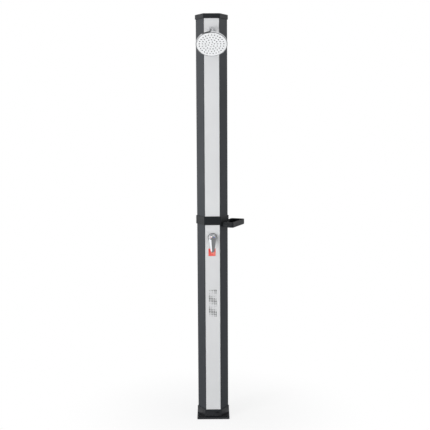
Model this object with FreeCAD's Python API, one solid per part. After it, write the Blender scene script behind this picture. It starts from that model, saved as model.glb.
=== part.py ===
import FreeCAD, Part
import math
import os
from FreeCAD import Vector

# Outdoor shower post, millimetres. Origin: on the ground under the post's axis.
# +Z is up, the silver panels and the shower head face -Y, the soap tray is on +X.

# ---- Tube, foot, collar, cap and panels -----------------------------------------------
post_height = 2170.0          # ground to the top of the cap
body_flats = 143.5            # hexagonal tube, across flats
body_wall = 3.5
body_corner_r = 3.0

foot_margin = 0.647           # from the socket's corners to the plate's sides
foot_plate = 10.0
foot_plate_r = 6.0            # upright corners of the plate
foot_edge_r = 1.5             # its top edge
foot_height = 49.0            # ground to the top of the socket
foot_wall = 3.6
foot_bolt_inset = 15.0        # bolts, from the plate's sides
foot_bolt_r = 5.5
foot_screw_drop = 18.6        # under the socket's top

collar_bottom = 1068.0
collar_height = 45.0
collar_wall = 4.4
collar_groove = 1.0           # line around the middle of the collar
collar_groove_height = 3.0
collar_screw_x = 24.0
collar_screw_inset = 6.3      # from the collar's top and bottom

cap_height = 24.0             # skirt and roof together
cap_roof = 4.5
cap_wall = 3.5
cap_screw_rise = 9.6          # over the cap's lower edge
sleeve_corner_r = 4.0         # foot socket, collar and cap
sleeve_chamfer = 1.6
sleeve_clearance = 0.3        # between the tube and foot, collar and cap

panel_margin = 2.22           # from the facet's corners to the strip's sides
panel_thickness = 1.0
panel_recess = 1.5
panel_clearance = 0.3
panel_end_gap = 0.8
panel_edge_r = 0.4

# ---- Sealing plates, coupler and pipes ---------------------------------------------------
end_plate = 6.0               # sealing plates inside the tube
plate_clearance = 0.15
bottom_plate_rise = 6.0       # over the foot's socket
joint_plate_gap = 10.0        # between the two sealing plates at the joint
top_plate_drop = 26.0         # top of the upper sealing plate under the tube's end

pipe_r = 8.0
pipe_wall = 1.5
pipe_fit = 0.12
pipe_behind_wall = 32.25      # riser and cold pipe, from the tube's inner front
hot_pipe_inset = 36.808       # from the tube's inner left corner
hot_intake_drop = 45.0        # open end of the hot pipe under the tube's end
riser_bend_r = 18.0
hot_bend_r = 13.0
cold_bend_r = 24.0
union_wall = 2.4
union_length = 46.0
union_web = 2.0               # half of the stop between the two pipes
union_flange = 1.5            # beyond the plates' holes
union_play = 1.4              # between union and plate, filled by the seal
union_seal = 2.0
seal_fit = 0.05

coupler_x = 26.0              # tank water passes the joint here
coupler_y = 18.0
coupler_r = 14.0
coupler_wall = 3.0
coupler_flange = 5.0
coupler_length = 34.0
coupler_seal = 3.0
coupler_nut_wall = 4.0
coupler_nut_length = 5.5

# ---- Mixer and lever ------------------------------------------------------------------
mixer_drop = 68.0             # ball centre under the collar
mixer_stand_off = 10.75       # ball centre in front of the panel
mixer_depth = 50.25           # back of the valve, behind the tube's inner front
mixer_barrel_r = 19.0
mixer_end_wall = 8.0
mixer_flange_r = 27.0
mixer_flange = 5.0
nose_wall = 1.94
nose_short = 3.0              # nose ends this far behind the ball centre
port_wall = 3.0
port_length = 12.0
port_socket = 5.2
pipe_end_gap = 0.2
waterway_r = 4.5
gasket = 2.0
dome_r = 19.7
dome_wall = 2.6
dome_mouth = 8.5              # its open end, in front of the ball centre
dome_flange_step = 1.3
dome_flange = 2.5
cartridge_r = 13.5
cartridge_wall = 3.6
cartridge_ring = 4.0
guide_fit = 0.06
guide_depth = 14.0            # pocket's bottom behind the ball centre
guide_nose = 6.0
stem_side = 7.0
stem_reach = 20.0             # in front of the ball centre
stem_tail = 9.0
stem_slot_depth = 12.0
stem_slot_margin = 1.58       # over the stem's swing
stem_pin_r = 1.5
stem_pin_inset = 0.6
dome_gap = 0.9                # between the dome and the lever's cap
lever_cap_wall = 2.4
lever_cap_mouth = 1.0
lever_boss_r = 8.0
lever_boss_start = 13.5
lever_boss_sink = 1.5
lever_length = 78.0           # from the ball centre to the tip
lever_tip = 6.0
lever_out = 12.0              # handle's root in front of the ball centre
lever_stations = (4.0, 31.2, 56.16)            # along the handle
lever_widths = (40.0, 32.8, 24.8, 19.0)        # there and at its end
lever_thicknesses = (11.25, 8.63, 7.5, 6.38)
lever_lean = 24.0             # degrees out from the post
lever_lift_max = 22.0         # degrees
grub_r = 2.0
grub_inset = 3.0              # behind the stem's end
grub_reach = 14.5
grub_socket_flats = 2.0
mark_r = 2.6
mark_thickness = 0.8
mark_up_angle = 17.0          # degrees above the cap's middle
mark_side_angle = 25.0        # and to each side
mark_proud = 0.1
patch_width = 38.0
patch_height = 40.0
patch_drop = 79.0             # its middle under the lever's ball centre
patch_x = -3.0
patch_thickness = 0.3

# ---- Outlet, arm and head -----------------------------------------------------------------
outlet_drop = 84.0            # under the post's top
outlet_bush_r = 13.0
outlet_bush_nose = 6.0        # in front of the panel
outlet_flange_step = 5.0
outlet_flange = 4.0
outlet_tail = 9.0
outlet_nut_wall = 3.0
outlet_nut_length = 4.0
riser_stop = 1.5
riser_socket = 3.0            # into the bush's flange
rosette_r = 19.0
rosette_depth = 11.0
rosette_wall = 1.6
arm_r = 10.5
arm_wall = 3.5
arm_stop = 2.0                # web in the bush that the arm stops on
arm_stop_gap = 0.2
arm_reach = 38.4              # straight run in front of the panel
arm_bend_r = 25.0
head_lean = 47.0              # degrees under the horizon
arm_shoulder = 8.7            # from the bend's end to the neck's cone
arm_cone = 3.0
arm_neck_r = 6.4
neck_bore_r = 4.0
ball_at = 31.7                # from the bend's end to the ball's centre
ball_r = 14.0
ball_gap = 0.3
seat_wall = 0.9
seat_back = 5.8               # seat ring, behind the ball's centre
seat_front = 0.3
nut_wall = 4.5
nut_edge_r = 2.5
nut_back = 10.4               # behind and in front of the ball's centre
nut_front = 22.0
hub_wall = 2.1
hub_start = 5.2
hub_bore_r = 6.0
thread_fit = 0.15
head_r = 80.0
head_face_at = 106.7          # from the bend's end to the face
head_rim = 11.0
head_neck = 3.0               # hub shows behind the nut
head_shoulder = 4.0
head_dish = ((9.0, 38.4), (3.0, 11.2), (0.0, 2.5))     # (behind the rim, inside its radius)
head_bulge = 3.0
head_edge = 1.0
face_lip = 3.3
face_fit = 0.2
face_inset = 1.0
face_plate = 3.5
face_seal = 1.5
face_ledge = 4.0
dish_floor = ((-1.0, 10.5), (5.0, 38.4))               # inside, (behind the rim, inside its radius)
washer_r = 9.0
washer_bore_r = 3.0
washer_thickness = 2.0
washer_back = 6.0
washer_pocket = 10.0
spray_hole_r = 2.3
spray_tip = 1.6
spray_tip_r = 1.5
spray_bore_r = 0.6
spray_ring_r = (0.0, 15.5, 31.0, 46.5, 62.0)
spray_counts = (1, 6, 13, 19, 25)

# ---- Inlet and drain ---------------------------------------------------------------------------
inlet_height = 120.0
inlet_r = 10.48               # G1/2 male thread
inlet_wall = 3.48
inlet_stub = 18.0
inlet_chamfer = 1.2
inlet_flats = 27.0
inlet_hex = 6.0
inlet_nut_step = 3.0
inlet_nut_length = 6.0
tee_from_wall = 38.25         # tee's middle, from the tube's inner back
tee_wall = 2.02
tee_height = 56.0
tee_foot = 18.7               # under its middle
tee_floor = 4.0
tee_nut_gap = 0.5
tee_overlap = 2.0
tee_branch = 10.0
tee_branch_step = 1.5
tee_branch_socket = 7.0
tee_pipe_gap = 1.0
valve_wall = 2.5
valve_length = 34.0
valve_overlap = 8.0
valve_bore_step = 2.0

drain_x = 22.0
drain_height = 25.0
drain_behind_wall = 26.25     # upright run, from the tube's inner front
drain_r = 10.0
drain_wall = 3.0
drain_bend_r = 16.0
drain_flange_step = 6.0
drain_flange = 3.0
drain_seal = 1.6
plug_head_step = 1.0
plug_head = 3.5
plug_edge_r = 1.2
plug_grip = 4.0
plug_grip_width = 3.6
plug_grip_length = 16.5
plug_shank = 16.0

# ---- Soap tray and screws ----------------------------------------------------------------------
tray_length = 183.0           # outer side, by the collar's front right facet
tray_depth = 77.6
tray_turn = 8.0               # how far the rear end swings in, in degrees
tray_reach = 59.0             # outer front corner, in front of that facet
tray_start = 16.5             # and before the facet's middle
tray_height = 28.0
tray_rise = 13.5              # rim over the collar's lower edge
tray_wall = 2.6
tray_corner_r = 9.0
tray_slot_from = 42.0         # from the tray's front end
tray_slot_length = 98.0
tray_slot_width = 3.0
tray_slot_pitch = 6.6
tray_slot_in = 14.0           # first slot, from the tray's outer side
tray_slot_count = 5
tray_screw_x = (-4.0, 28.0)
tray_screw_drop = 7.5

screw_r = 2.0
screw_head_r = 4.0
screw_head = 2.4
screw_edge_r = 0.96
screw_slot_length = 4.8
screw_slot_width = 1.0
screw_slot_depth = 1.2
screw_length = 12.0
screw_fit = 0.08

cut_margin = 20.0             # how far a cutter runs past a wall
hair = 1e-6                   # tolerance for picking edges

# ---- Sizes that follow ----------------------------------------------------------------
front = body_flats / 2                                   # front facet, from the axis
inner_front = front - body_wall
sleeve_flats = body_flats + 2 * sleeve_clearance
inner_flats = body_flats - 2 * body_wall
foot_flats = sleeve_flats + 2 * foot_wall
foot_width = 2 * foot_flats / math.sqrt(3) + 2 * foot_margin
collar_flats = sleeve_flats + 2 * collar_wall
cap_flats = sleeve_flats + 2 * cap_wall
plate_flats = inner_flats - 2 * plate_clearance
panel_width = body_flats / math.sqrt(3) - 2 * panel_margin
collar_top = collar_bottom + collar_height
joint_height = collar_bottom + collar_height / 2
body_top = post_height - cap_roof
cap_bottom = post_height - cap_height
recess_floor = front - panel_recess
panel_face = recess_floor + panel_thickness
lower_panel_ends = (foot_height + panel_end_gap, collar_bottom - panel_end_gap)
upper_panel_ends = (collar_top + panel_end_gap, cap_bottom - panel_end_gap)
bottom_plate_height = foot_height + bottom_plate_rise
lower_plate_top = joint_height - joint_plate_gap / 2
upper_plate_bottom = joint_height + joint_plate_gap / 2

pipe_y = pipe_behind_wall - inner_front
hot_pipe_x = hot_pipe_inset - inner_flats / math.sqrt(3)
pipe_bore_r = pipe_r - pipe_wall
union_r = pipe_r + pipe_fit + union_wall
union_hole_r = union_r + union_play
coupler_bore_r = coupler_r - coupler_wall
coupler_flange_r = coupler_r + coupler_flange
coupler_nut_flats = 2 * (coupler_r + coupler_nut_wall)

mixer_height = collar_bottom - mixer_drop
pivot = Vector(0, -(panel_face + mixer_stand_off), mixer_height)
mixer_nose_r = cartridge_r + guide_fit + nose_wall
nose_end = pivot + Vector(0, nose_short, 0)
dome_flange_r = dome_r + dome_flange_step
lever_cap_r = dome_r + dome_gap + lever_cap_wall
guide_r = cartridge_r - cartridge_wall
port_end = mixer_barrel_r + port_length
port_floor = port_end - port_socket
patch_centre_height = mixer_height - patch_drop

outlet_height = post_height - outlet_drop
outlet_flange_r = outlet_bush_r + outlet_flange_step
arm_bore_r = arm_r - arm_wall
lean = math.radians(head_lean)
bend_end = Vector(0, -(panel_face + arm_reach + arm_bend_r * math.sin(lean)),
                  outlet_height - arm_bend_r * (1 - math.cos(lean)))
spray_axis = Vector(0, -math.cos(lean), -math.sin(lean))
seat_outer_r = ball_r + ball_gap + seat_wall
pocket_r = seat_outer_r + ball_gap
nut_r = pocket_r + nut_wall
hub_r = ball_r + ball_gap + hub_wall
face_plate_r = head_r - face_lip - face_fit

inlet_bore_r = inlet_r - inlet_wall
tee_y = inner_front - tee_from_wall
tee_r = inlet_r + tee_wall
valve_r = tee_r + valve_wall
drain_y = drain_behind_wall - inner_front
drain_bore_r = drain_r - drain_wall
plug_head_r = drain_r + plug_head_step
tray_rim = collar_bottom + tray_rise

parts = {}


# ---- Shape helpers -----------------------------------------------------------------------
def hex_prism(flats, bottom, top, corner_r=0.0):
    """Regular hexagonal prism with two facets square to Y and its upright edges rounded."""
    reach = flats / math.sqrt(3)
    turns = [math.radians(60 * i) for i in range(7)]
    corners = [Vector(reach * math.cos(turn), reach * math.sin(turn), bottom) for turn in turns]
    prism = Part.Face(Part.makePolygon(corners)).extrude(Vector(0, 0, top - bottom))
    if corner_r:
        prism = prism.makeFillet(corner_r, upright_edges(prism))
    return prism


def upright_edges(shape):
    """Straight edges along Z."""
    found = []
    for edge in shape.Edges:
        if len(edge.Vertexes) == 2:
            start, end = (vertex.Point for vertex in edge.Vertexes)
            if math.hypot(start.x - end.x, start.y - end.y) < hair:
                found.append(edge)
    return found


def edges_at(shape, height):
    """Edges that lie flat at one height."""
    return [e for e in shape.Edges
            if abs(e.BoundBox.ZMin - height) < hair and abs(e.BoundBox.ZMax - height) < hair]


def edges_facing(shape, y):
    """Edges that lie in one plane square to Y."""
    return [e for e in shape.Edges
            if abs(e.BoundBox.YMin - y) < hair and abs(e.BoundBox.YMax - y) < hair]


def rod(radius, start, end):
    """Cylinder from one point to another."""
    return Part.makeCylinder(radius, (end - start).Length, start, end - start)


def ring(outer_r, inner_r, start, end):
    """Tube from one point to another."""
    return rod(outer_r, start, end).cut(rod(inner_r, start, end))


def box(low, high):
    """Box between two corners."""
    size = high - low
    return Part.makeBox(size.x, size.y, size.z, low)


def along(point, axis, distance):
    """Point at a distance from another."""
    return point + axis * distance


def turned(profile, start, axis):
    """Solid of revolution. The profile lists (distance along the axis, radius)."""
    points = [Vector(radius, 0, distance) for distance, radius in profile]
    face = Part.Face(Part.makePolygon(points + [points[0]]))
    solid = face.revolve(Vector(0, 0, 0), Vector(0, 0, 1), 360)
    solid.Placement = FreeCAD.Placement(start, FreeCAD.Rotation(Vector(0, 0, 1), axis))
    return Part.makeSolid(Part.makeShell(solid.Faces))


def bent_rod(radius, points, bend_r):
    """Rod along straight runs joined by tangent arcs."""
    edges = []
    here = points[0]
    for before, corner, after in zip(points, points[1:], points[2:]):
        leave = (before - corner).normalize()
        arrive = (after - corner).normalize()
        half_turn = (math.pi - leave.getAngle(arrive)) / 2
        cut_back = bend_r * math.tan(half_turn)
        arc_start = corner + leave * cut_back
        arc_end = corner + arrive * cut_back
        middle_way = (leave + arrive).normalize()
        arc_middle = corner + middle_way * (bend_r / math.cos(half_turn) - bend_r)
        edges.append(Part.LineSegment(here, arc_start).toShape())
        edges.append(Part.Arc(arc_start, arc_middle, arc_end).toShape())
        here = arc_end
    edges.append(Part.LineSegment(here, points[-1]).toShape())
    section = Part.Wire(Part.makeCircle(radius, points[0], points[1] - points[0]))
    return Part.Wire(edges).makePipeShell([section], True, False)


def bent_pipe(points, bend_r):
    """Water pipe along straight runs joined by tangent arcs."""
    return bent_rod(pipe_r, points, bend_r).cut(bent_rod(pipe_bore_r, points, bend_r))


def hex_nut(flats, bore_r, start, end):
    """Hexagonal nut from one point to another."""
    nut = hex_prism(flats, 0, (end - start).Length)
    nut.Placement = FreeCAD.Placement(start, FreeCAD.Rotation(Vector(0, 0, 1), end - start))
    return nut.cut(rod(bore_r, start, end))


def to_facet(shape, angle):
    """Turn a shape made on the front facet to the facet whose normal is at this angle from +X."""
    moved = shape.copy()
    moved.rotate(Vector(0, 0, 0), Vector(0, 0, 1), angle + 90)
    return moved


def at_facets(shapes, angles):
    """The same shapes turned to several facets, as one group."""
    return [to_facet(shape, angle) for angle in angles for shape in shapes]


def wall_hole(radius, x, z):
    """Cutter through the walls of the front facet only."""
    return rod(radius, Vector(x, -front - cut_margin, z), Vector(x, -inner_front + cut_margin, z))


def drilled(shape, cutters):
    """The shape with every cutter taken out of it."""
    for cutter in cutters:
        shape = shape.cut(cutter)
    return shape


def screw(face_y, x, z):
    """Pan-head screw driven square into a face on the front, head outside, with a cross recess."""
    seat = Vector(x, -face_y, z)
    top = seat + Vector(0, -screw_head, 0)
    head = rod(screw_head_r, top, seat)
    head = head.makeFillet(screw_edge_r, edges_facing(head, top.y))
    shank = rod(screw_r, seat, seat + Vector(0, screw_length, 0))
    half = Vector(screw_slot_length / 2, 0, screw_slot_width / 2)
    slot = box(top - half, top + half + Vector(0, screw_slot_depth, 0))
    cross = slot.copy()
    cross.rotate(seat, Vector(0, 1, 0), 90)
    return head.fuse(shank).cut(slot).cut(cross)


def keep(name, shape):
    """Record a finished sub-part. A list becomes a group of separate solids."""
    parts[name] = Part.makeCompound(shape) if isinstance(shape, list) else shape.removeSplitter()


# ---- Screw places ---------------------------------------------------------------------------
screw_hole_r = screw_r + screw_fit
foot_screw_facets = (30, 90, 150)
foot_screw_z = foot_height - foot_screw_drop
foot_holes = at_facets([wall_hole(screw_hole_r, 0, foot_screw_z)], foot_screw_facets)
cap_screw_facets = (30, 150)
cap_screw_z = cap_bottom + cap_screw_rise
cap_holes = at_facets([wall_hole(screw_hole_r, 0, cap_screw_z)], cap_screw_facets)
rear_facet = 90
collar_screws_at = [(side * collar_screw_x, joint_height + step * (collar_height / 2 - collar_screw_inset))
                    for side in (-1, 1) for step in (-1, 1)]
tray_facet = -30
tray_screws_at = [(x, tray_rim - tray_screw_drop) for x in tray_screw_x]
tray_holes = at_facets([wall_hole(screw_hole_r, x, z) for x, z in tray_screws_at], (tray_facet,))
collar_holes = at_facets([wall_hole(screw_hole_r, x, z) for x, z in collar_screws_at], (rear_facet,))
drain_hole = wall_hole(drain_r + sleeve_clearance, drain_x, drain_height)


def foot():
    """Square plate with a hexagonal socket, four bolt holes and the drain's opening."""
    half = foot_width / 2
    plate = box(Vector(-half, -half, 0), Vector(half, half, foot_plate))
    plate = plate.makeFillet(foot_plate_r, upright_edges(plate))
    plate = plate.makeFillet(foot_edge_r, edges_at(plate, foot_plate))
    socket = hex_prism(foot_flats, foot_plate / 2, foot_height, sleeve_corner_r)
    socket = socket.makeChamfer(sleeve_chamfer, edges_at(socket, foot_height))
    base = plate.fuse(socket).cut(hex_prism(sleeve_flats, foot_plate, foot_height, body_corner_r))
    bolt = half - foot_bolt_inset
    bolt_holes = [rod(foot_bolt_r, Vector(x, y, 0), Vector(x, y, foot_plate))
                  for x in (-bolt, bolt) for y in (-bolt, bolt)]
    keep("foot", drilled(base, bolt_holes + [drain_hole] + foot_holes))
    keep("foot_screws", at_facets([screw(foot_flats / 2, 0, foot_screw_z)], foot_screw_facets))


def tube(bottom, top, panel_ends):
    """One length of the hexagonal tube, with the recess on its front that takes a panel."""
    walls = hex_prism(body_flats, bottom, top, body_corner_r)
    walls = walls.cut(hex_prism(inner_flats, bottom, top))
    half = panel_width / 2 + panel_clearance
    recess = box(Vector(-half, -front - cut_margin, panel_ends[0] - panel_clearance),
                 Vector(half, -recess_floor, panel_ends[1] + panel_clearance))
    return walls.cut(recess)


def lower_body():
    """Lower tank tube, standing on the foot's plate."""
    body = tube(foot_plate, joint_height, lower_panel_ends)
    inlet_hole = to_facet(wall_hole(inlet_r + sleeve_clearance, 0, inlet_height), rear_facet)
    mixer_hole = wall_hole(mixer_nose_r + sleeve_clearance, 0, mixer_height)
    keep("lower_body", drilled(body, [mixer_hole, inlet_hole, drain_hole]
                               + foot_holes + collar_holes + tray_holes))


def upper_body():
    """Upper tank tube, from the joint to the cap's roof."""
    body = tube(joint_height, body_top, upper_panel_ends)
    bush_hole = wall_hole(outlet_bush_r + sleeve_clearance, 0, outlet_height)
    keep("upper_body", drilled(body, [bush_hole] + cap_holes + collar_holes + tray_holes))


def panels():
    """Flat aluminium strips bonded into the recesses, one to each tube."""
    for name, (bottom, top), hole_r, hole_z in (
            ("lower_panel", lower_panel_ends, mixer_nose_r + sleeve_clearance, mixer_height),
            ("upper_panel", upper_panel_ends, outlet_bush_r + sleeve_clearance, outlet_height)):
        half = panel_width / 2
        strip = box(Vector(-half, -panel_face, bottom), Vector(half, -recess_floor, top))
        strip = strip.makeFillet(panel_edge_r, edges_facing(strip, -panel_face))
        keep(name, strip.cut(wall_hole(hole_r, 0, hole_z)))


def collar():
    """Sleeve over the joint of the two tubes, with a groove around its middle."""
    sleeve = hex_prism(collar_flats, collar_bottom, collar_top, sleeve_corner_r)
    rims = edges_at(sleeve, collar_top) + edges_at(sleeve, collar_bottom)
    sleeve = sleeve.makeChamfer(sleeve_chamfer, rims)
    low = joint_height - collar_groove_height / 2
    high = joint_height + collar_groove_height / 2
    groove_floor = hex_prism(collar_flats - 2 * collar_groove, low, high, sleeve_corner_r - collar_groove)
    groove = hex_prism(collar_flats + cut_margin, low, high).cut(groove_floor)
    bore = hex_prism(sleeve_flats, collar_bottom, collar_top, body_corner_r)
    keep("collar", drilled(sleeve, [bore, groove] + collar_holes + tray_holes))
    rear_screws = [screw(collar_flats / 2, x, z) for x, z in collar_screws_at]
    keep("collar_screws", at_facets(rear_screws, (rear_facet,)))


def top_cap():
    """Cap over the upper tube's end."""
    cap = hex_prism(cap_flats, cap_bottom, post_height, sleeve_corner_r)
    cap = cap.makeChamfer(sleeve_chamfer, edges_at(cap, post_height) + edges_at(cap, cap_bottom))
    bore = hex_prism(sleeve_flats, cap_bottom, body_top, body_corner_r)
    keep("top_cap", drilled(cap, [bore] + cap_holes))
    keep("cap_screws", at_facets([screw(cap_flats / 2, 0, cap_screw_z)], cap_screw_facets))


def sealing_plates():
    """Hexagonal plates that close the ends of the two tanks."""
    bottom = hex_prism(plate_flats, bottom_plate_height, bottom_plate_height + end_plate)
    drain_spot = Vector(drain_x, drain_y, bottom_plate_height)
    drain_cut = rod(drain_r + pipe_fit, drain_spot, drain_spot + Vector(0, 0, end_plate))
    keep("lower_bottom_plate", bottom.cut(drain_cut))
    keep("lower_top_plate", joint_plate(lower_plate_top - end_plate))
    keep("upper_bottom_plate", joint_plate(upper_plate_bottom))
    top = body_top - top_plate_drop
    keep("upper_top_plate", hex_prism(plate_flats, top - end_plate, top))


def joint_plate(bottom):
    """Sealing plate at the joint, with holes for the coupler and the pipe unions."""
    holes = []
    for x, y, hole_r in ((coupler_x, coupler_y, coupler_r + pipe_fit), (0, pipe_y, union_hole_r),
                         (hot_pipe_x, pipe_y, union_hole_r)):
        holes.append(rod(hole_r, Vector(x, y, bottom), Vector(x, y, bottom + end_plate)))
    return drilled(hex_prism(plate_flats, bottom, bottom + end_plate), holes)


def tank_coupler():
    """Flanged nipple that joins the two tanks, with a seal and a nut on each side."""
    centre = Vector(coupler_x, coupler_y, joint_height)
    up = Vector(0, 0, 1)
    half_flange = joint_plate_gap / 2 - coupler_seal
    half = up * coupler_length / 2
    nipple = rod(coupler_r, centre - half, centre + half)
    nipple = nipple.fuse(rod(coupler_flange_r, centre - up * half_flange, centre + up * half_flange))
    keep("tank_coupler", nipple.cut(rod(coupler_bore_r, centre - half, centre + half)))
    seals = []
    nuts = []
    for side in (-1, 1):
        flange_face = centre + up * side * half_flange
        plate_face = centre + up * side * (joint_plate_gap / 2)
        far_face = plate_face + up * side * end_plate
        seals.append(ring(coupler_flange_r, coupler_r + seal_fit, flange_face, plate_face))
        nuts.append(hex_nut(coupler_nut_flats, coupler_r + seal_fit, far_face,
                            far_face + up * side * coupler_nut_length))
    keep("coupler_seals", seals)
    keep("coupler_nuts", nuts)


def pipe_unions():
    """Sleeves that carry the riser and the hot pipe through the joint, with their seals."""
    unions = []
    seals = []
    up = Vector(0, 0, 1)
    for x in (0, hot_pipe_x):
        centre = Vector(x, pipe_y, joint_height)
        half = up * union_length / 2
        stop = up * (joint_plate_gap / 2 - sleeve_clearance)
        sleeve = rod(union_r, centre - half, centre + half)
        sleeve = sleeve.fuse(rod(union_hole_r + union_flange, centre - stop, centre + stop))
        sleeve = sleeve.cut(rod(pipe_bore_r, centre - half, centre + half))
        for side in (-1, 1):
            sleeve = sleeve.cut(rod(pipe_r + pipe_fit, centre + up * side * union_web, centre + half * side))
            seal_start = centre + up * side * (joint_plate_gap / 2 + end_plate / 2) - up * union_seal / 2
            seals.append(ring(union_hole_r - seal_fit, union_r + seal_fit,
                              seal_start, seal_start + up * union_seal))
        unions.append(sleeve)
    keep("pipe_unions", unions)
    keep("union_seals", seals)


def pipes():
    """Riser from the mixer to the head, hot pipe from the tank's top, cold pipe from the inlet."""
    port = port_floor + pipe_end_gap
    union_low = joint_height - union_web - pipe_fit
    union_high = joint_height + union_web + pipe_fit
    keep("riser_lower", ring(pipe_r, pipe_bore_r, Vector(0, pipe_y, mixer_height + port),
                             Vector(0, pipe_y, union_low)))
    riser_end = -inner_front + gasket + outlet_flange + riser_stop
    keep("riser_upper", bent_pipe([Vector(0, pipe_y, union_high), Vector(0, pipe_y, outlet_height),
                                   Vector(0, riser_end, outlet_height)], riser_bend_r))
    keep("hot_pipe_lower", bent_pipe([Vector(hot_pipe_x, pipe_y, union_low),
                                      Vector(hot_pipe_x, pipe_y, mixer_height),
                                      Vector(-port, pipe_y, mixer_height)], hot_bend_r))
    keep("hot_pipe_upper", ring(pipe_r, pipe_bore_r, Vector(hot_pipe_x, pipe_y, union_high),
                                Vector(hot_pipe_x, pipe_y, body_top - hot_intake_drop)))
    branch_end = tee_y - tee_r - tee_branch + tee_branch_socket - tee_pipe_gap
    keep("cold_pipe", bent_pipe([Vector(0, branch_end, inlet_height), Vector(0, pipe_y, inlet_height),
                                 Vector(0, pipe_y, mixer_height - port)], cold_bend_r))


def inlet():
    """Threaded inlet through the rear wall, with washer, nut, tee and the tank's check valve."""
    back = Vector(0, 1, 0)
    up = Vector(0, 0, 1)
    middle = Vector(0, tee_y, inlet_height)
    inside = Vector(0, inner_front, inlet_height)
    wall = Vector(0, front, inlet_height)
    washer_face = wall + back * gasket
    hex_face = washer_face + back * inlet_hex
    stub_end = hex_face + back * inlet_stub
    stub_start = middle + back * (tee_r - tee_overlap / 2)
    stub = rod(inlet_r, stub_start, stub_end)
    stub = stub.makeChamfer(inlet_chamfer, edges_facing(stub, stub_end.y))
    stub = stub.fuse(hex_nut(inlet_flats, inlet_bore_r, washer_face, hex_face))
    keep("inlet_fitting", stub.cut(rod(inlet_bore_r, stub_start, stub_end)))
    keep("inlet_washer", ring(inlet_flats / 2, inlet_r + sleeve_clearance, wall, washer_face))
    keep("inlet_nut", hex_nut(inlet_flats + inlet_nut_step, inlet_r + seal_fit,
                              inside - back * inlet_nut_length, inside))

    top = middle + up * tee_height / 2
    foot_end = middle - up * tee_foot
    nut_side = inside - back * (inlet_nut_length + tee_nut_gap)
    branch_end = middle - back * (tee_r + tee_branch)
    tee = rod(tee_r, foot_end, top).fuse(rod(tee_r, middle, nut_side))
    tee = tee.fuse(rod(tee_r - tee_branch_step, branch_end, middle))
    tee = tee.cut(rod(pipe_bore_r, foot_end + up * tee_floor, top))
    tee = tee.cut(rod(pipe_bore_r, branch_end, nut_side))
    tee = tee.cut(rod(inlet_r + seal_fit, middle + back * (tee_r - tee_overlap), nut_side))
    keep("inlet_tee", tee.cut(rod(pipe_r + pipe_fit, branch_end, branch_end + back * tee_branch_socket)))
    valve = rod(valve_r, top - up * valve_overlap, top + up * valve_length)
    valve = valve.cut(rod(tee_r + seal_fit, top - up * valve_overlap, top))
    keep("tank_check_valve", valve.cut(rod(pipe_bore_r + valve_bore_step, top, top + up * valve_length)))


def drain():
    """Elbow from the bottom plate to the foot's front, closed by a plug with a seal."""
    out = Vector(0, -1, 0)
    plate_top = Vector(drain_x, drain_y, bottom_plate_height + end_plate)
    flange_top = plate_top + Vector(0, 0, drain_flange)
    mouth = Vector(drain_x, -foot_flats / 2, drain_height)
    route = [flange_top, Vector(drain_x, drain_y, drain_height), mouth]
    elbow = bent_rod(drain_r, route, drain_bend_r)
    elbow = elbow.fuse(rod(drain_r + drain_flange_step, plate_top, flange_top))
    keep("drain_elbow", elbow.cut(bent_rod(drain_bore_r, route, drain_bend_r)))
    seat = mouth + out * drain_seal
    face = seat + out * plug_head
    keep("drain_seal", ring(drain_r, drain_bore_r, mouth, seat))
    head = rod(plug_head_r, seat, face)
    head = head.makeFillet(plug_edge_r, edges_facing(head, face.y))
    half_grip = Vector(plug_grip_width / 2, 0, plug_grip_length / 2)
    grip = box(face + out * plug_grip - half_grip, face + half_grip)
    shank = rod(drain_bore_r - seal_fit, seat, mouth - out * plug_shank)
    keep("drain_plug", head.fuse(grip).fuse(shank))


def mixer():
    """Brass valve in the wall with its gasket, fixed dome, cartridge and retaining ring."""
    back = Vector(0, 1, 0)
    inside = Vector(0, -inner_front, mixer_height)
    panel = Vector(0, -panel_face, mixer_height)
    flange_face = inside + back * gasket
    barrel_face = flange_face + back * mixer_flange
    end = inside + back * mixer_depth
    cartridge_back = end - back * mixer_end_wall
    spot = Vector(0, pipe_y, mixer_height)
    ports = (Vector(0, 0, 1), Vector(0, 0, -1), Vector(-1, 0, 0))
    valve = rod(mixer_barrel_r, barrel_face, end).fuse(rod(mixer_flange_r, flange_face, barrel_face))
    valve = valve.fuse(rod(mixer_nose_r, nose_end, flange_face))
    for way in ports:
        valve = valve.fuse(rod(pipe_r + port_wall, spot, spot + way * port_end))
    valve = valve.cut(rod(cartridge_r + guide_fit, nose_end, cartridge_back))
    for way in ports:
        valve = valve.cut(rod(waterway_r, spot, spot + way * port_end))
        valve = valve.cut(rod(pipe_r + pipe_fit, spot + way * port_floor, spot + way * port_end))
    keep("mixer_body", valve)
    keep("mixer_gasket", ring(mixer_flange_r, mixer_nose_r + sleeve_clearance, inside, flange_face))

    span = Vector(dome_r, 0, dome_r)
    between = box(pivot - back * dome_mouth - span, panel + span)
    dome = Part.makeSphere(dome_r, pivot).cut(Part.makeSphere(dome_r - dome_wall, pivot)).common(between)
    dome = dome.fuse(rod(dome_flange_r, panel - back * dome_flange, panel))
    keep("mixer_dome", dome.cut(rod(mixer_nose_r + thread_fit, panel - back * 2 * dome_flange, panel)))

    ring_face = nose_end + back * cartridge_ring
    pocket = pivot + back * guide_depth
    cartridge = rod(cartridge_r, cartridge_back - back * seal_fit, ring_face)
    keep("mixer_cartridge", cartridge.cut(rod(guide_r + guide_fit, pocket, ring_face)))
    keep("cartridge_ring", ring(cartridge_r, guide_r + guide_fit, ring_face, nose_end))


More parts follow.
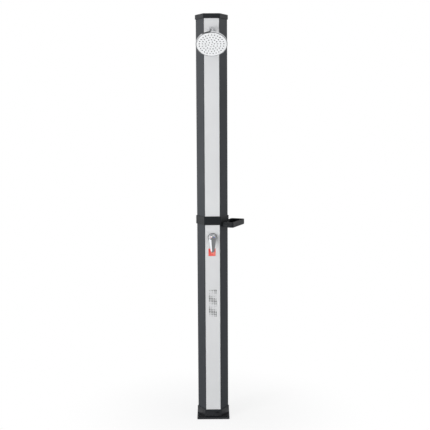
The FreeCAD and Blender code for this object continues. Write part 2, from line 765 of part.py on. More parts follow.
def lever():
    """Turning guide and pin, and the lever with its stem, grub screw and two colour marks."""
    back = Vector(0, 1, 0)
    up = Vector(0, 0, 1)
    half = stem_side / 2
    guide = rod(guide_r, pivot + back * (guide_depth - sleeve_clearance), pivot - back * guide_nose)
    swing = math.radians(lever_lift_max)
    slot_half = half * math.cos(swing) + stem_tail * math.sin(swing) + stem_slot_margin
    slot_side = half + sleeve_clearance
    slot = box(pivot + Vector(-slot_side, -guide_nose, -slot_half),
               pivot + Vector(slot_side, stem_slot_depth, slot_half))
    pin_half = Vector(guide_r - stem_pin_inset, 0, 0)
    pin = rod(stem_pin_r, pivot - pin_half, pivot + pin_half)
    keep("cartridge_guide", guide.cut(slot).cut(pin))
    keep("stem_pin", pin)
    stem = box(pivot + Vector(-half, -stem_reach, -half), pivot + Vector(half, stem_tail, half))
    keep("cartridge_stem", stem.cut(rod(stem_pin_r + guide_fit, pivot - pin_half, pivot + pin_half)))

    cap_span = Vector(lever_cap_r, lever_cap_r, lever_cap_r)
    front_half = box(pivot - cap_span, pivot + Vector(lever_cap_r, -lever_cap_mouth, lever_cap_r))
    cap = Part.makeSphere(lever_cap_r, pivot).common(front_half)
    body = cap.fuse(lever_handle()).cut(Part.makeSphere(lever_cap_r - lever_cap_wall, pivot))
    body = body.fuse(rod(lever_boss_r, pivot - back * lever_boss_start,
                         pivot - back * (lever_cap_r - lever_boss_sink)))
    socket = half + seal_fit
    body = body.cut(box(pivot + Vector(-socket, -stem_reach - seal_fit, -socket),
                        pivot + Vector(socket, 0, socket)))
    grub_place = pivot - back * (stem_reach - grub_inset)
    grub_low = grub_place + up * socket
    grub_top = grub_place + up * grub_reach
    body = body.cut(rod(grub_r + seal_fit, grub_low, grub_place + up * lever_cap_r))
    key = hex_prism(grub_socket_flats, grub_top.z - grub_socket_flats, grub_top.z)
    key.translate(Vector(grub_top.x, grub_top.y, 0))
    keep("lever_screw", rod(grub_r, grub_low, grub_top).cut(key))
    for name, side in (("hot_mark", -1), ("cold_mark", 1)):
        mark = rod(mark_r, pivot - back * (lever_cap_r - mark_thickness), pivot - back * 2 * lever_cap_r)
        mark = mark.common(Part.makeSphere(lever_cap_r + mark_proud, pivot))
        mark.rotate(pivot, Vector(1, 0, 0), -mark_up_angle)
        mark.rotate(pivot, Vector(0, 0, 1), side * mark_side_angle)
        body = body.cut(mark)
        keep(name, mark)
    keep("lever", body)


def lever_handle():
    """Tapered handle under the lever's cap, crowned and rounded at its tip."""
    end = lever_length - lever_tip
    sections = []
    for reach, width, thickness in zip(lever_stations + (end,), lever_widths, lever_thicknesses):
        wire = Part.Wire(Part.Ellipse(Vector(0, 0, 0), width / 2, thickness / 2).toShape())
        wire.Placement = FreeCAD.Placement(Vector(0, 0, -reach), FreeCAD.Rotation())
        sections.append(wire)
    handle = Part.makeLoft(sections, True, False)
    stretch = FreeCAD.Matrix()
    stretch.scale(lever_widths[-1] / 2, lever_thicknesses[-1] / 2, lever_tip)
    tip = Part.makeSphere(1.0).transformGeometry(stretch)
    tip.translate(Vector(0, 0, -end))
    handle = handle.fuse(tip)
    handle.rotate(Vector(0, 0, 0), Vector(1, 0, 0), -lever_lean)
    handle.translate(pivot + Vector(0, -lever_out, 0))
    return handle


def outlet():
    """Brass bush in the wall for the shower arm, with its gasket, nut and chrome rosette."""
    back = Vector(0, 1, 0)
    inside = Vector(0, -inner_front, outlet_height)
    panel = Vector(0, -panel_face, outlet_height)
    flange_face = inside + back * gasket
    flange_back = flange_face + back * outlet_flange
    tail = flange_back + back * outlet_tail
    nose = panel - back * outlet_bush_nose
    bush = rod(outlet_bush_r, nose, flange_face).fuse(rod(outlet_flange_r, flange_face, flange_back))
    bush = bush.fuse(rod(pipe_r + port_wall, flange_back, tail))
    bush = bush.cut(rod(pipe_r + pipe_fit, flange_back - back * riser_socket, tail))
    bush = bush.cut(rod(pipe_bore_r, nose, tail))
    keep("outlet_bush", bush.cut(rod(arm_r + seal_fit, nose, flange_face - back * arm_stop)))
    keep("outlet_gasket", ring(outlet_flange_r, outlet_bush_r + sleeve_clearance, inside, flange_face))
    keep("outlet_nut", ring(outlet_bush_r + outlet_nut_wall, outlet_bush_r + seal_fit,
                            panel - back * outlet_nut_length, panel))
    crown = ((0.0, 1.0), (0.45, 0.97), (0.8, 0.87), (1.0, 0.7))     # shares of depth and radius
    outside = [(rosette_depth * depth, rosette_r * reach) for depth, reach in crown]
    bore = arm_r + seal_fit
    floor = rosette_depth - rosette_wall
    base_r = rosette_r - rosette_wall
    inside_line = [(rosette_depth, bore), (floor, bore), (floor, outside[3][1] - rosette_wall / 3),
                   (outside[2][0] - rosette_wall, outside[2][1] - rosette_wall / 1.7),
                   (outside[1][0] - rosette_wall / 3, base_r), (0.0, base_r)]
    keep("outlet_rosette", turned(outside + inside_line, panel, -back))


def head_arm():
    """Chrome arm: straight run, bend, neck and ball."""
    start = Vector(0, -inner_front + gasket - arm_stop - arm_stop_gap, outlet_height)
    corner_run = arm_bend_r * math.tan(lean / 2)
    corner = Vector(0, -(panel_face + arm_reach + corner_run), outlet_height)
    shoulder = along(bend_end, spray_axis, arm_shoulder)
    ball = along(bend_end, spray_axis, ball_at)
    to_ball = ball_at - arm_shoulder
    arm = bent_rod(arm_r, [start, corner, shoulder], arm_bend_r)
    arm = arm.fuse(turned([(0, 0), (0, arm_r), (arm_cone, arm_neck_r), (to_ball, arm_neck_r), (to_ball, 0)],
                          shoulder, spray_axis))
    arm = arm.fuse(Part.makeSphere(ball_r, ball))
    arm = arm.cut(bent_rod(arm_bore_r, [start, corner, shoulder], arm_bend_r))
    keep("head_arm", arm.cut(rod(neck_bore_r, shoulder, along(ball, spray_axis, ball_r))))


def ball_joint():
    """Plastic seat ring around the ball and the chrome nut that holds it to the head."""
    ball = along(bend_end, spray_axis, ball_at)
    seat = Part.makeSphere(seat_outer_r, ball).cut(Part.makeSphere(ball_r + ball_gap, ball))
    slab = rod(nut_r, along(ball, spray_axis, -seat_back), along(ball, spray_axis, -seat_front))
    keep("ball_seat", seat.common(slab))
    nut_end = along(ball, spray_axis, nut_front)
    nut = rod(nut_r, along(ball, spray_axis, -nut_back), nut_end)
    nut = nut.makeFillet(nut_edge_r, [e for e in nut.Edges if isinstance(e.Curve, Part.Circle)])
    nut = nut.cut(Part.makeSphere(pocket_r, ball))
    keep("ball_nut", nut.cut(rod(hub_r + thread_fit, along(ball, spray_axis, hub_start), nut_end)))


def shower_head():
    """Hollow head with its hub, face plate, seal, spray tips and flow washer."""
    ball = along(bend_end, spray_axis, ball_at)
    face = head_face_at - ball_at
    rim = face - head_rim
    neck = nut_front + head_neck
    outer = [(hub_start, hub_r), (neck, hub_r), (neck + head_shoulder, hub_r + head_shoulder)]
    outer += [(rim - behind, head_r - inside) for behind, inside in head_dish]
    outer += [(rim + head_bulge, head_r), (face - head_edge, head_r), (face, head_r - head_edge)]
    plate_front = face - face_inset
    plate_back = plate_front - face_plate
    seal_back = plate_back - face_seal
    pocket = face_plate_r + face_fit
    inner = [(face, pocket), (seal_back, pocket), (seal_back, face_plate_r - face_ledge)]
    inner += [(rim - behind, head_r - inside) for behind, inside in dish_floor]
    inner += [(neck + 2 * head_shoulder, hub_r), (neck + head_shoulder, hub_bore_r), (hub_start, hub_bore_r)]
    shell = turned(outer + inner, ball, spray_axis)
    shell = shell.cut(Part.makeSphere(ball_r + ball_gap, ball))
    washer_top = nut_front - washer_back
    washer_end = washer_top + washer_thickness
    pocket_cut = rod(washer_r, along(ball, spray_axis, washer_pocket), along(ball, spray_axis, washer_end))
    keep("head_shell", shell.cut(pocket_cut))
    keep("flow_washer", ring(washer_r - seal_fit, washer_bore_r, along(ball, spray_axis, washer_top),
                             along(ball, spray_axis, washer_end)))
    plate = rod(face_plate_r, along(ball, spray_axis, plate_back), along(ball, spray_axis, plate_front))
    tips = []
    side = Vector(1, 0, 0)
    up = spray_axis.cross(side)
    tip_r = spray_hole_r - seal_fit
    tip_end = plate_front + spray_tip
    for ring_r, count in zip(spray_ring_r, spray_counts):
        for i in range(count):
            angle = 2 * math.pi * (i + 0.25) / count
            spot = ball + (side * math.cos(angle) + up * math.sin(angle)) * ring_r
            plate = plate.cut(rod(spray_hole_r, along(spot, spray_axis, plate_back),
                                  along(spot, spray_axis, face)))
            tips.append(turned([(plate_back, tip_r), (plate_front, tip_r), (tip_end, spray_tip_r),
                                (tip_end, spray_bore_r), (plate_back, spray_bore_r)], spot, spray_axis))
    keep("face_plate", plate)
    keep("spray_tips", tips)
    keep("face_seal", ring(face_plate_r, face_plate_r - face_ledge, along(ball, spray_axis, seal_back),
                           along(ball, spray_axis, plate_back)))


def to_tray(shape):
    """Move a shape drawn at the tray's outer front corner to its place, turned, on the collar's facet."""
    shape.rotate(Vector(0, 0, 0), Vector(0, 0, 1), tray_turn)
    shape.translate(Vector(-tray_start, -collar_flats / 2 - tray_reach, 0))
    return to_facet(shape, tray_facet)


def tray_block(shrink, bottom, top):
    """Block of the tray's plan, made smaller all round, without the collar's space."""
    block = box(Vector(shrink, shrink, bottom), Vector(tray_length - shrink, tray_depth - shrink, top))
    block = to_tray(block.makeFillet(tray_corner_r - shrink, upright_edges(block)))
    collar_space = collar_flats + 2 * sleeve_clearance + 2 * shrink
    return block.cut(hex_prism(collar_space, bottom, top, sleeve_corner_r))


def soap_tray():
    """Open tray that hugs the collar's corner, with drain slots, screwed to the collar."""
    bottom = tray_rim - tray_height
    floor = bottom + tray_wall
    slots = []
    for i in range(tray_slot_count):
        side = tray_slot_in + i * tray_slot_pitch
        slots.append(to_tray(box(Vector(tray_slot_from, side, bottom),
                                 Vector(tray_slot_from + tray_slot_length, side + tray_slot_width, floor))))
    tray = tray_block(0, bottom, tray_rim).cut(tray_block(tray_wall, floor, tray_rim))
    keep("soap_tray", drilled(tray, slots + tray_holes))
    seat = collar_flats / 2 + sleeve_clearance + tray_wall
    keep("tray_screws", at_facets([screw(seat, x, z) for x, z in tray_screws_at], (tray_facet,)))


def red_patch():
    """Plain red sticker on the lower panel under the lever."""
    low = Vector(patch_x - patch_width / 2, -panel_face - patch_thickness,
                 patch_centre_height - patch_height / 2)
    keep("red_patch", box(low, low + Vector(patch_width, patch_thickness, patch_height)))


foot()
lower_body()
upper_body()
panels()
collar()
top_cap()
sealing_plates()
tank_coupler()
pipe_unions()
pipes()
inlet()
drain()
mixer()
lever()
red_patch()
outlet()
head_arm()
ball_joint()
shower_head()
soap_tray()

os.makedirs("parts", exist_ok=True)
for name, shape in parts.items():
    shape.exportStep("parts/" + name + ".step")
    print(name, len(shape.Solids), "valid" if shape.isValid() else "NOT VALID", round(shape.Volume, 1))
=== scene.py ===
import math

import bpy
from mathutils import Matrix, Vector


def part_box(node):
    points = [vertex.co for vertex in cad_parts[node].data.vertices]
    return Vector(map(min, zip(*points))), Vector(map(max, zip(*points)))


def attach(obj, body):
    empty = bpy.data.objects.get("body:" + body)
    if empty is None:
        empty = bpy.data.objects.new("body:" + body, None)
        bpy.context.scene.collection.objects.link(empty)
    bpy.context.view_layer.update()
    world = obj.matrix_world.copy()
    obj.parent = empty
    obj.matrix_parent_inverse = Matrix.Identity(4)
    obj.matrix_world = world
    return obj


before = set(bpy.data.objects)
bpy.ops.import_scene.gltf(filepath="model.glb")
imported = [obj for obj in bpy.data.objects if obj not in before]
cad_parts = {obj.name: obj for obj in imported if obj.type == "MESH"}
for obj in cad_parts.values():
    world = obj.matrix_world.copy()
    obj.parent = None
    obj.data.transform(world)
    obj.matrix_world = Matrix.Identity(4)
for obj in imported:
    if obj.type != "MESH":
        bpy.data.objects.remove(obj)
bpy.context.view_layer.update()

# ---- Camera ------------------------------------------------------------------------------------
# A person of average height stands 4.3 m in front of the post and looks slightly down.
# Place, turn and lens come from the straight edges of the tube, cap, collar and foot.
camera_place = Vector((-0.00558, -4.3399, 1.6399))
camera_pan = math.radians(0.26)
camera_tilt = math.radians(6.924)
camera_roll = math.radians(-0.274)
lens_mm = 67.74
sensor_mm = 36.0

sideways = Vector((math.cos(camera_pan), -math.sin(camera_pan), 0.0))
ahead = Vector((math.sin(camera_pan), math.cos(camera_pan), 0.0))
looking = ahead * math.cos(camera_tilt) - Vector((0.0, 0.0, math.sin(camera_tilt)))
upwards = ahead * math.sin(camera_tilt) + Vector((0.0, 0.0, math.cos(camera_tilt)))
camera_x = sideways * math.cos(camera_roll) + upwards * math.sin(camera_roll)
camera_y = upwards * math.cos(camera_roll) - sideways * math.sin(camera_roll)
camera_data = bpy.data.cameras.new("viewer")
camera_data.lens = lens_mm
camera_data.sensor_width = sensor_mm
camera_data.sensor_fit = "HORIZONTAL"
camera_data.dof.use_dof = False
camera = bpy.data.objects.new("viewer", camera_data)
turn = Matrix((camera_x, camera_y, -looking)).transposed().to_4x4()
camera.matrix_world = Matrix.Translation(camera_place) @ turn
bpy.context.scene.collection.objects.link(camera)
bpy.context.scene.camera = camera
bpy.context.scene.view_settings.view_transform = "Standard"

# ---- Studio: light, floor and backdrop ---------------------------------------------------------
# A white sweep of paper under and behind the post, lit by one large soft box on the left,
# a weaker one on the right and the white room. The paper keeps the post's soft shadow.
room_light = 0.62
lamp_size = (1.2, 1.8)
key_watts = 70.0
key_place = Vector((-2.6, -2.2, 1.35))
key_aim = Vector((0.0, 0.0, 1.0))
fill_watts = 20.0
fill_place = Vector((2.8, -2.0, 1.2))
fill_aim = Vector((0.0, 0.0, 0.9))
paper_colour = (0.86, 0.86, 0.865, 1.0)
paper_near = 0.15
paper_far = 0.9
paper_least_white = 0.80
sweep_half_width = 14.0
sweep_front = -9.0
sweep_back = 7.0
sweep_bend = 3.0
sweep_top = 11.0
bend_steps = 12


def wire_up(tree, start, start_socket, end, end_socket):
    """Joins one node's output to another's input."""
    tree.links.new(start.outputs[start_socket], end.inputs[end_socket])


def put(tree, kind, **inputs):
    """Adds a node and sets its inputs by name, with _ for each space."""
    made = tree.nodes.new(kind)
    for name, value in inputs.items():
        made.inputs[name.replace("_", " ")].default_value = value
    return made


def chain(tree, operation, first, second=None):
    """Math node. Each side is a socket or a number."""
    made = tree.nodes.new("ShaderNodeMath")
    made.operation = operation
    for index, side in enumerate((first, second)):
        if side is None:
            continue
        if isinstance(side, (int, float)):
            made.inputs[index].default_value = side
        else:
            tree.links.new(side, made.inputs[index])
    return made.outputs[0]


def seen_directly(tree):
    """1 where the camera, a mirror or glass looks at a surface, and 0 where it only lights."""
    rays = put(tree, "ShaderNodeLightPath")
    seen = chain(tree, "MAXIMUM", rays.outputs["Is Camera Ray"], rays.outputs["Is Glossy Ray"])
    return chain(tree, "MAXIMUM", seen, rays.outputs["Is Transmission Ray"])


world = bpy.data.worlds.new("white_room")
world.use_nodes = True
bpy.context.scene.world = world
room = world.node_tree
room.nodes.clear()
room_out = put(room, "ShaderNodeOutputWorld")
room_dim = put(room, "ShaderNodeBackground", Color=(1.0, 1.0, 1.0, 1.0), Strength=room_light)
room_white = put(room, "ShaderNodeBackground", Color=(1.0, 1.0, 1.0, 1.0), Strength=1.0)
room_mix = put(room, "ShaderNodeMixShader")
room.links.new(seen_directly(room), room_mix.inputs[0])
room.links.new(room_dim.outputs[0], room_mix.inputs[1])
room.links.new(room_white.outputs[0], room_mix.inputs[2])
room.links.new(room_mix.outputs[0], room_out.inputs["Surface"])

paper = bpy.data.materials.new("paper_sweep")
paper.use_nodes = True
tree = paper.node_tree
tree.nodes.clear()
paper_out = put(tree, "ShaderNodeOutputMaterial")
paper_lit = put(tree, "ShaderNodeBsdfPrincipled", Base_Color=paper_colour, Roughness=0.9)
paper_white = put(tree, "ShaderNodeEmission", Color=(1.0, 1.0, 1.0, 1.0), Strength=1.0)
paper_place = put(tree, "ShaderNodeTexCoord")
paper_reach = put(tree, "ShaderNodeVectorMath")
paper_reach.operation = "LENGTH"
wire_up(tree, paper_place, "Object", paper_reach, 0)
paper_fade = put(tree, "ShaderNodeMapRange", From_Min=paper_near, From_Max=paper_far,
                 To_Min=paper_least_white)
paper_fade.interpolation_type = "SMOOTHSTEP"
wire_up(tree, paper_reach, "Value", paper_fade, "Value")
paper_share = chain(tree, "MULTIPLY", paper_fade.outputs["Result"], seen_directly(tree))
paper_mix = put(tree, "ShaderNodeMixShader")
tree.links.new(paper_share, paper_mix.inputs[0])
tree.links.new(paper_lit.outputs[0], paper_mix.inputs[1])
tree.links.new(paper_white.outputs[0], paper_mix.inputs[2])
tree.links.new(paper_mix.outputs[0], paper_out.inputs["Surface"])

sweep_line = [(sweep_front, 0.0), (sweep_back - sweep_bend, 0.0)]
for step in range(1, bend_steps + 1):
    angle = math.radians(90.0 * step / bend_steps)
    sweep_line.append((sweep_back - sweep_bend + sweep_bend * math.sin(angle),
                       sweep_bend - sweep_bend * math.cos(angle)))
sweep_line.append((sweep_back, sweep_top))
sweep_points = [(x, y, z) for y, z in sweep_line for x in (-sweep_half_width, sweep_half_width)]
sweep_faces = [(i, i + 1, i + 3, i + 2) for i in range(0, len(sweep_points) - 2, 2)]
sweep_mesh = bpy.data.meshes.new("paper_sweep")
sweep_mesh.from_pydata(sweep_points, [], sweep_faces)
sweep_mesh.materials.append(paper)
sweep = bpy.data.objects.new("paper_sweep", sweep_mesh)
bpy.context.scene.collection.objects.link(sweep)

# Grey and white cards stand around, over and under the post, out of the camera's sight. Only
# reflections show them, as in a studio where cards give metal its light and dark bands.
card_radius = 4.5
card_height = 6.0
card_steps = 72
card_lift = 0.003
card_centre = 0.01
floor_card_hole = 0.14
# The high cards hang inside the wall, each between two (radius, height) and two azimuths.
high_low = (4.3, 2.4)
high_top = (4.3, 5.9)
high_sides = {"left": (-62, -12), "right": (60, 150)}
# Tone by azimuth in degrees: 0 is in front of the post, 90 on its right and -90 on its left.
wall_tones = [(-180, 0.60), (-130, 0.62), (-122, 1.10), (-66, 1.05), (-60, 0.90), (-38, 0.90),
              (-27, 0.20), (0, 0.30), (30, 0.34), (60, 0.42), (95, 0.50), (125, 0.58), (160, 0.50),
              (180, 0.60)]
high_tones = [(-180, 1.0), (-90, 1.45), (-12, 1.45), (60, 0.80), (180, 0.80)]
ceiling_tones = [(-180, 0.90), (-128, 0.90), (-112, 0.08), (-74, 0.08), (-60, 1.00), (30, 1.00),
                 (44, 0.08), (112, 0.08), (128, 0.90), (180, 0.90)]
floor_tones = [(-180, 0.55), (-110, 0.42), (-60, 0.34), (60, 0.26), (110, 0.24), (180, 0.55)]


def studio_card(name, points, faces, tones):
    """Glowing card that only reflections show, with its tone by azimuth."""
    material = bpy.data.materials.new(name)
    material.use_nodes = True
    tree = material.node_tree
    tree.nodes.clear()
    out = put(tree, "ShaderNodeOutputMaterial")
    glow = put(tree, "ShaderNodeEmission", Strength=1.0)
    place = put(tree, "ShaderNodeTexCoord")
    split = put(tree, "ShaderNodeSeparateXYZ")
    wire_up(tree, place, "Object", split, 0)
    forwards = chain(tree, "MULTIPLY", split.outputs["Y"], -1.0)
    azimuth = chain(tree, "ARCTAN2", split.outputs["X"], forwards)
    share = put(tree, "ShaderNodeMapRange", From_Min=-math.pi, From_Max=math.pi)
    tree.links.new(azimuth, share.inputs["Value"])
    ramp = put(tree, "ShaderNodeValToRGB")
    stops = ramp.color_ramp.elements
    for index, (degrees, tone) in enumerate(tones):
        stop = stops[0] if index == 0 else stops[-1] if index == len(tones) - 1 else stops.new(0.5)
        stop.position = (degrees + 180) / 360
        stop.color = (tone, tone, tone, 1.0)
    wire_up(tree, share, "Result", ramp, "Fac")
    wire_up(tree, ramp, "Color", glow, "Color")
    tree.links.new(glow.outputs[0], out.inputs["Surface"])
    mesh = bpy.data.meshes.new(name)
    mesh.from_pydata(points, [], faces)
    mesh.materials.append(material)
    made = bpy.data.objects.new(name, mesh)
    for kind in ("camera", "diffuse", "transmission", "volume_scatter", "shadow"):
        setattr(made, "visible_" + kind, False)
    bpy.context.scene.collection.objects.link(made)


def card_band(first, last, start=-180, stop=180):
    """Points and faces between two circles, each given as (radius, height), over some azimuths."""
    points = []
    for step in range(card_steps + 1):
        angle = math.radians(start + (stop - start) * step / card_steps)
        for radius, height in (first, last):
            points.append((radius * math.sin(angle), -radius * math.cos(angle), height))
    return points, [(i, i + 1, i + 3, i + 2) for i in range(0, 2 * card_steps, 2)]


wall_foot, wall_head = (card_radius, card_lift), (card_radius, card_height)
studio_card("wall_card", *card_band(wall_foot, wall_head), wall_tones)
for side, azimuths in high_sides.items():
    studio_card("high_card_" + side, *card_band(high_low, high_top, *azimuths), high_tones)
studio_card("ceiling_card", *card_band((card_centre, card_height), wall_head), ceiling_tones)
studio_card("floor_card", *card_band((floor_card_hole, card_lift), wall_foot), floor_tones)


def soft_box(name, place, aim, watts):
    """Rectangular lamp that faces a point and that reflections don't show."""
    data = bpy.data.lights.new(name, "AREA")
    data.shape = "RECTANGLE"
    data.size, data.size_y = lamp_size
    data.energy = watts
    lamp = bpy.data.objects.new(name, data)
    lamp.visible_glossy = False
    facing = (place - aim).to_track_quat("Z", "Y").to_matrix().to_4x4()
    lamp.matrix_world = Matrix.Translation(place) @ facing
    bpy.context.scene.collection.objects.link(lamp)


soft_box("key", key_place, key_aim, key_watts)
soft_box("fill", fill_place, fill_aim, fill_watts)

# ---- Tank tubes --------------------------------------------------------------------------------
# Two lengths of hexagonal PVC tube, coloured through and satin from the extruder. Faint
# lines run along them from the die, and hands and weather have left the sheen uneven.
tube_colour = (0.0158, 0.0200, 0.0260)
tube_roughness = 0.42
tube_streaks_per_metre = 420.0
tube_cloud_per_metre = 5.0
noise_low, noise_high = 0.3, 0.7
edge_first, edge_full = 0.995, 0.88


def shader_group(name, inputs, outputs):
    """Empty node group with named inputs (name, kind, value) and outputs (name, kind)."""
    group = bpy.data.node_groups.new(name, "ShaderNodeTree")
    for label, kind, value in inputs:
        socket = group.interface.new_socket(label, in_out="INPUT", socket_type=kind)
        socket.default_value = value
    for label, kind in outputs:
        group.interface.new_socket(label, in_out="OUTPUT", socket_type=kind)
    return group, put(group, "NodeGroupInput"), put(group, "NodeGroupOutput")


# Grain: fine noise that can be drawn out along one axis, and slow clouds of sheen and tone.
FLOAT = "NodeSocketFloat"
VECTOR = "NodeSocketVector"
grain, grain_in, grain_out = shader_group(
    "grain", [("Stretch", VECTOR, (1.0, 1.0, 1.0)), ("Fine", FLOAT, 900.0), ("Cloud", FLOAT, 6.0)],
    [("Height", FLOAT), ("Tone", FLOAT), ("Sheen", FLOAT)])
grain_place = put(grain, "ShaderNodeTexCoord")
grain_map = put(grain, "ShaderNodeMapping")
wire_up(grain, grain_place, "Object", grain_map, "Vector")
wire_up(grain, grain_in, "Stretch", grain_map, "Scale")
grain_fine = put(grain, "ShaderNodeTexNoise", Detail=3.0, Roughness=0.6)
wire_up(grain, grain_map, "Vector", grain_fine, "Vector")
wire_up(grain, grain_in, "Fine", grain_fine, "Scale")
grain_cloud = put(grain, "ShaderNodeTexNoise", Detail=4.0, Roughness=0.55)
wire_up(grain, grain_place, "Object", grain_cloud, "Vector")
wire_up(grain, grain_in, "Cloud", grain_cloud, "Scale")
wire_up(grain, grain_fine, "Fac", grain_out, "Height")
wire_up(grain, grain_cloud, "Fac", grain_out, "Sheen")
mixed_tone = chain(grain, "ADD", chain(grain, "MULTIPLY", grain_fine.outputs["Fac"], 0.5),
                   chain(grain, "MULTIPLY", grain_cloud.outputs["Fac"], 0.5))
grain.links.new(mixed_tone, grain_out.inputs["Tone"])

# Worn and highlit edges: 1 on outer edges, where handling polishes or bares the material, and
# where the paler colour also paints a highlight along chamfers and edges.
edge_wear_highlight, edge_wear_highlight_in, edge_wear_highlight_out = shader_group("worn_and_highlit_edges", [("Width", FLOAT, 0.0012)],
                                             [("Mask", FLOAT)])
edge_round = edge_wear_highlight.nodes.new("ShaderNodeBevel")
edge_round.samples = 4
wire_up(edge_wear_highlight, edge_wear_highlight_in, "Width", edge_round, "Radius")
edge_flat = put(edge_wear_highlight, "ShaderNodeNewGeometry")
edge_turn = put(edge_wear_highlight, "ShaderNodeVectorMath")
edge_turn.operation = "DOT_PRODUCT"
wire_up(edge_wear_highlight, edge_round, "Normal", edge_turn, 0)
wire_up(edge_wear_highlight, edge_flat, "Normal", edge_turn, 1)
edge_range = put(edge_wear_highlight, "ShaderNodeMapRange", From_Min=edge_first, From_Max=edge_full)
wire_up(edge_wear_highlight, edge_turn, "Value", edge_range, "Value")
wire_up(edge_wear_highlight, edge_range, "Result", edge_wear_highlight_out, "Mask")


def finish(name, colour, roughness, metallic=0.0, fine=900.0, stretch=(1.0, 1.0, 1.0), cloud=6.0,
           tone=0.06, sheen=0.08, bump=0.05, depth=0.0001, wear_highlight=0.0, wear_highlight_colour=None, wear_highlight_width=0.0012,
           coat=0.0, specular=0.5):
    """Solid finish: its colour and roughness vary with the grain, which also gives the bump."""
    material = bpy.data.materials.new(name)
    material.use_nodes = True
    tree = material.node_tree
    tree.nodes.clear()
    out = put(tree, "ShaderNodeOutputMaterial")
    skin = put(tree, "ShaderNodeBsdfPrincipled", Metallic=metallic)
    skin.inputs["Specular IOR Level"].default_value = specular
    skin.inputs["Coat Weight"].default_value = coat
    skin.inputs["Coat Roughness"].default_value = 0.08
    tree.links.new(skin.outputs[0], out.inputs["Surface"])
    texture = tree.nodes.new("ShaderNodeGroup")
    texture.node_tree = grain
    texture.inputs["Stretch"].default_value = stretch
    texture.inputs["Fine"].default_value = fine
    texture.inputs["Cloud"].default_value = cloud
    shade = put(tree, "ShaderNodeMapRange", To_Min=1.0 - tone, To_Max=1.0 + tone,
                From_Min=noise_low, From_Max=noise_high)
    wire_up(tree, texture, "Tone", shade, "Value")
    tint = tree.nodes.new("ShaderNodeMix")
    tint.data_type = "RGBA"
    tint.blend_type = "MULTIPLY"
    tint.inputs["Factor"].default_value = 1.0
    tint.inputs["A"].default_value = (*colour, 1.0)
    tree.links.new(shade.outputs["Result"], tint.inputs["B"])
    colour_end = tint.outputs["Result"]
    gloss = put(tree, "ShaderNodeMapRange", To_Min=roughness - sheen, To_Max=roughness + sheen,
                From_Min=noise_low, From_Max=noise_high)
    wire_up(tree, texture, "Sheen", gloss, "Value")
    tree.links.new(gloss.outputs["Result"], skin.inputs["Roughness"])
    # Paler colour on outer edges: partly wear, partly a painted highlight.
    if wear_highlight:
        edges = tree.nodes.new("ShaderNodeGroup")
        edges.node_tree = edge_wear_highlight
        edges.inputs["Width"].default_value = wear_highlight_width
        share = chain(tree, "MULTIPLY", edges.outputs["Mask"],
                      chain(tree, "MULTIPLY", texture.outputs["Sheen"], wear_highlight))
        worn_and_highlit = tree.nodes.new("ShaderNodeMix")
        worn_and_highlit.data_type = "RGBA"
        worn_and_highlit.inputs["B"].default_value = (*wear_highlight_colour, 1.0)
        tree.links.new(share, worn_and_highlit.inputs["Factor"])
        tree.links.new(colour_end, worn_and_highlit.inputs["A"])
        colour_end = worn_and_highlit.outputs["Result"]
    tree.links.new(colour_end, skin.inputs["Base Color"])
    relief = put(tree, "ShaderNodeBump", Strength=bump, Distance=depth)
    wire_up(tree, texture, "Height", relief, "Height")
    wire_up(tree, relief, "Normal", skin, "Normal")
    return material


def dress(material, *names):
    """Gives CAD pieces their finish."""
    for name in names:
        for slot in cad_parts[name].material_slots:
            slot.material = material


anthracite = finish("anthracite_pvc", tube_colour, tube_roughness, fine=tube_streaks_per_metre,
                    stretch=(1.0, 1.0, 0.02), cloud=tube_cloud_per_metre, tone=0.10, sheen=0.06,
                    bump=0.12, depth=0.0002, wear_highlight=0.15, wear_highlight_colour=(0.03, 0.034, 0.038))
dress(anthracite, "lower_body", "upper_body")

# ---- Front panels ------------------------------------------------------------------------------
# Strips of 1 mm aluminium, brushed along their length and anodised silver, bonded into the
# recess of each tube. The brushing spreads highlights sideways.
# Their edges are a little paler: partly wear, partly a painted highlight along each edge.
silver = finish("satin_anodised", (0.80, 0.81, 0.82), 0.38, metallic=0.35, fine=2400.0,
                stretch=(1.0, 1.0, 0.01), cloud=2.0, tone=0.05, sheen=0.04, bump=0.10,
                depth=0.00005, wear_highlight=0.4, wear_highlight_colour=(0.86, 0.86, 0.87), wear_highlight_width=0.0006)
dress(silver, "lower_panel", "upper_panel")

# ---- Foot, collar, cap, tray and drain plug ----------------------------------------------------
# Injection-moulded covers in black glass-filled plastic. The mould is spark eroded, so the
# skin has a fine pebble grain. Its outer edges are a little paler, partly from wear and partly
# as a painted highlight on the chamfers.
black = finish("black_moulding", (0.0062, 0.0084, 0.0108), 0.46, fine=1500.0, cloud=9.0, tone=0.12,
               sheen=0.07, bump=0.35, depth=0.00025, wear_highlight=0.3, wear_highlight_colour=(0.02, 0.023, 0.026))
dress(black, "foot", "collar", "top_cap", "soap_tray", "drain_plug")

# ---- Screws and pins ---------------------------------------------------------------------------
# Bright stainless pan-head screws hold foot, collar, cap and tray. The pin, the square stem
# and the grub screw inside the lever are the same steel.
steel = finish("stainless_steel", (0.60, 0.60, 0.61), 0.28, metallic=1.0, fine=3000.0, cloud=60.0,
               tone=0.08, sheen=0.08, bump=0.08, depth=0.00005)
dress(steel, "foot_screws", "collar_screws", "cap_screws", "tray_screws", "lever_screw", "stem_pin",
      "cartridge_stem", "cartridge_ring")

# ---- Tanks' inside: plates, pipes and coupler --------------------------------------------------
# Grey pressure PVC, solvent welded. The check valve and the drain elbow are the same stock.
grey = finish("grey_pvc", (0.28, 0.29, 0.30), 0.36, fine=700.0, cloud=12.0, tone=0.05, sheen=0.06,
              bump=0.06, depth=0.0001)
dress(grey, "lower_bottom_plate", "lower_top_plate", "upper_bottom_plate", "upper_top_plate",
      "tank_coupler", "coupler_nuts", "pipe_unions", "riser_lower", "riser_upper", "hot_pipe_lower",
      "hot_pipe_upper", "cold_pipe", "tank_check_valve", "drain_elbow")

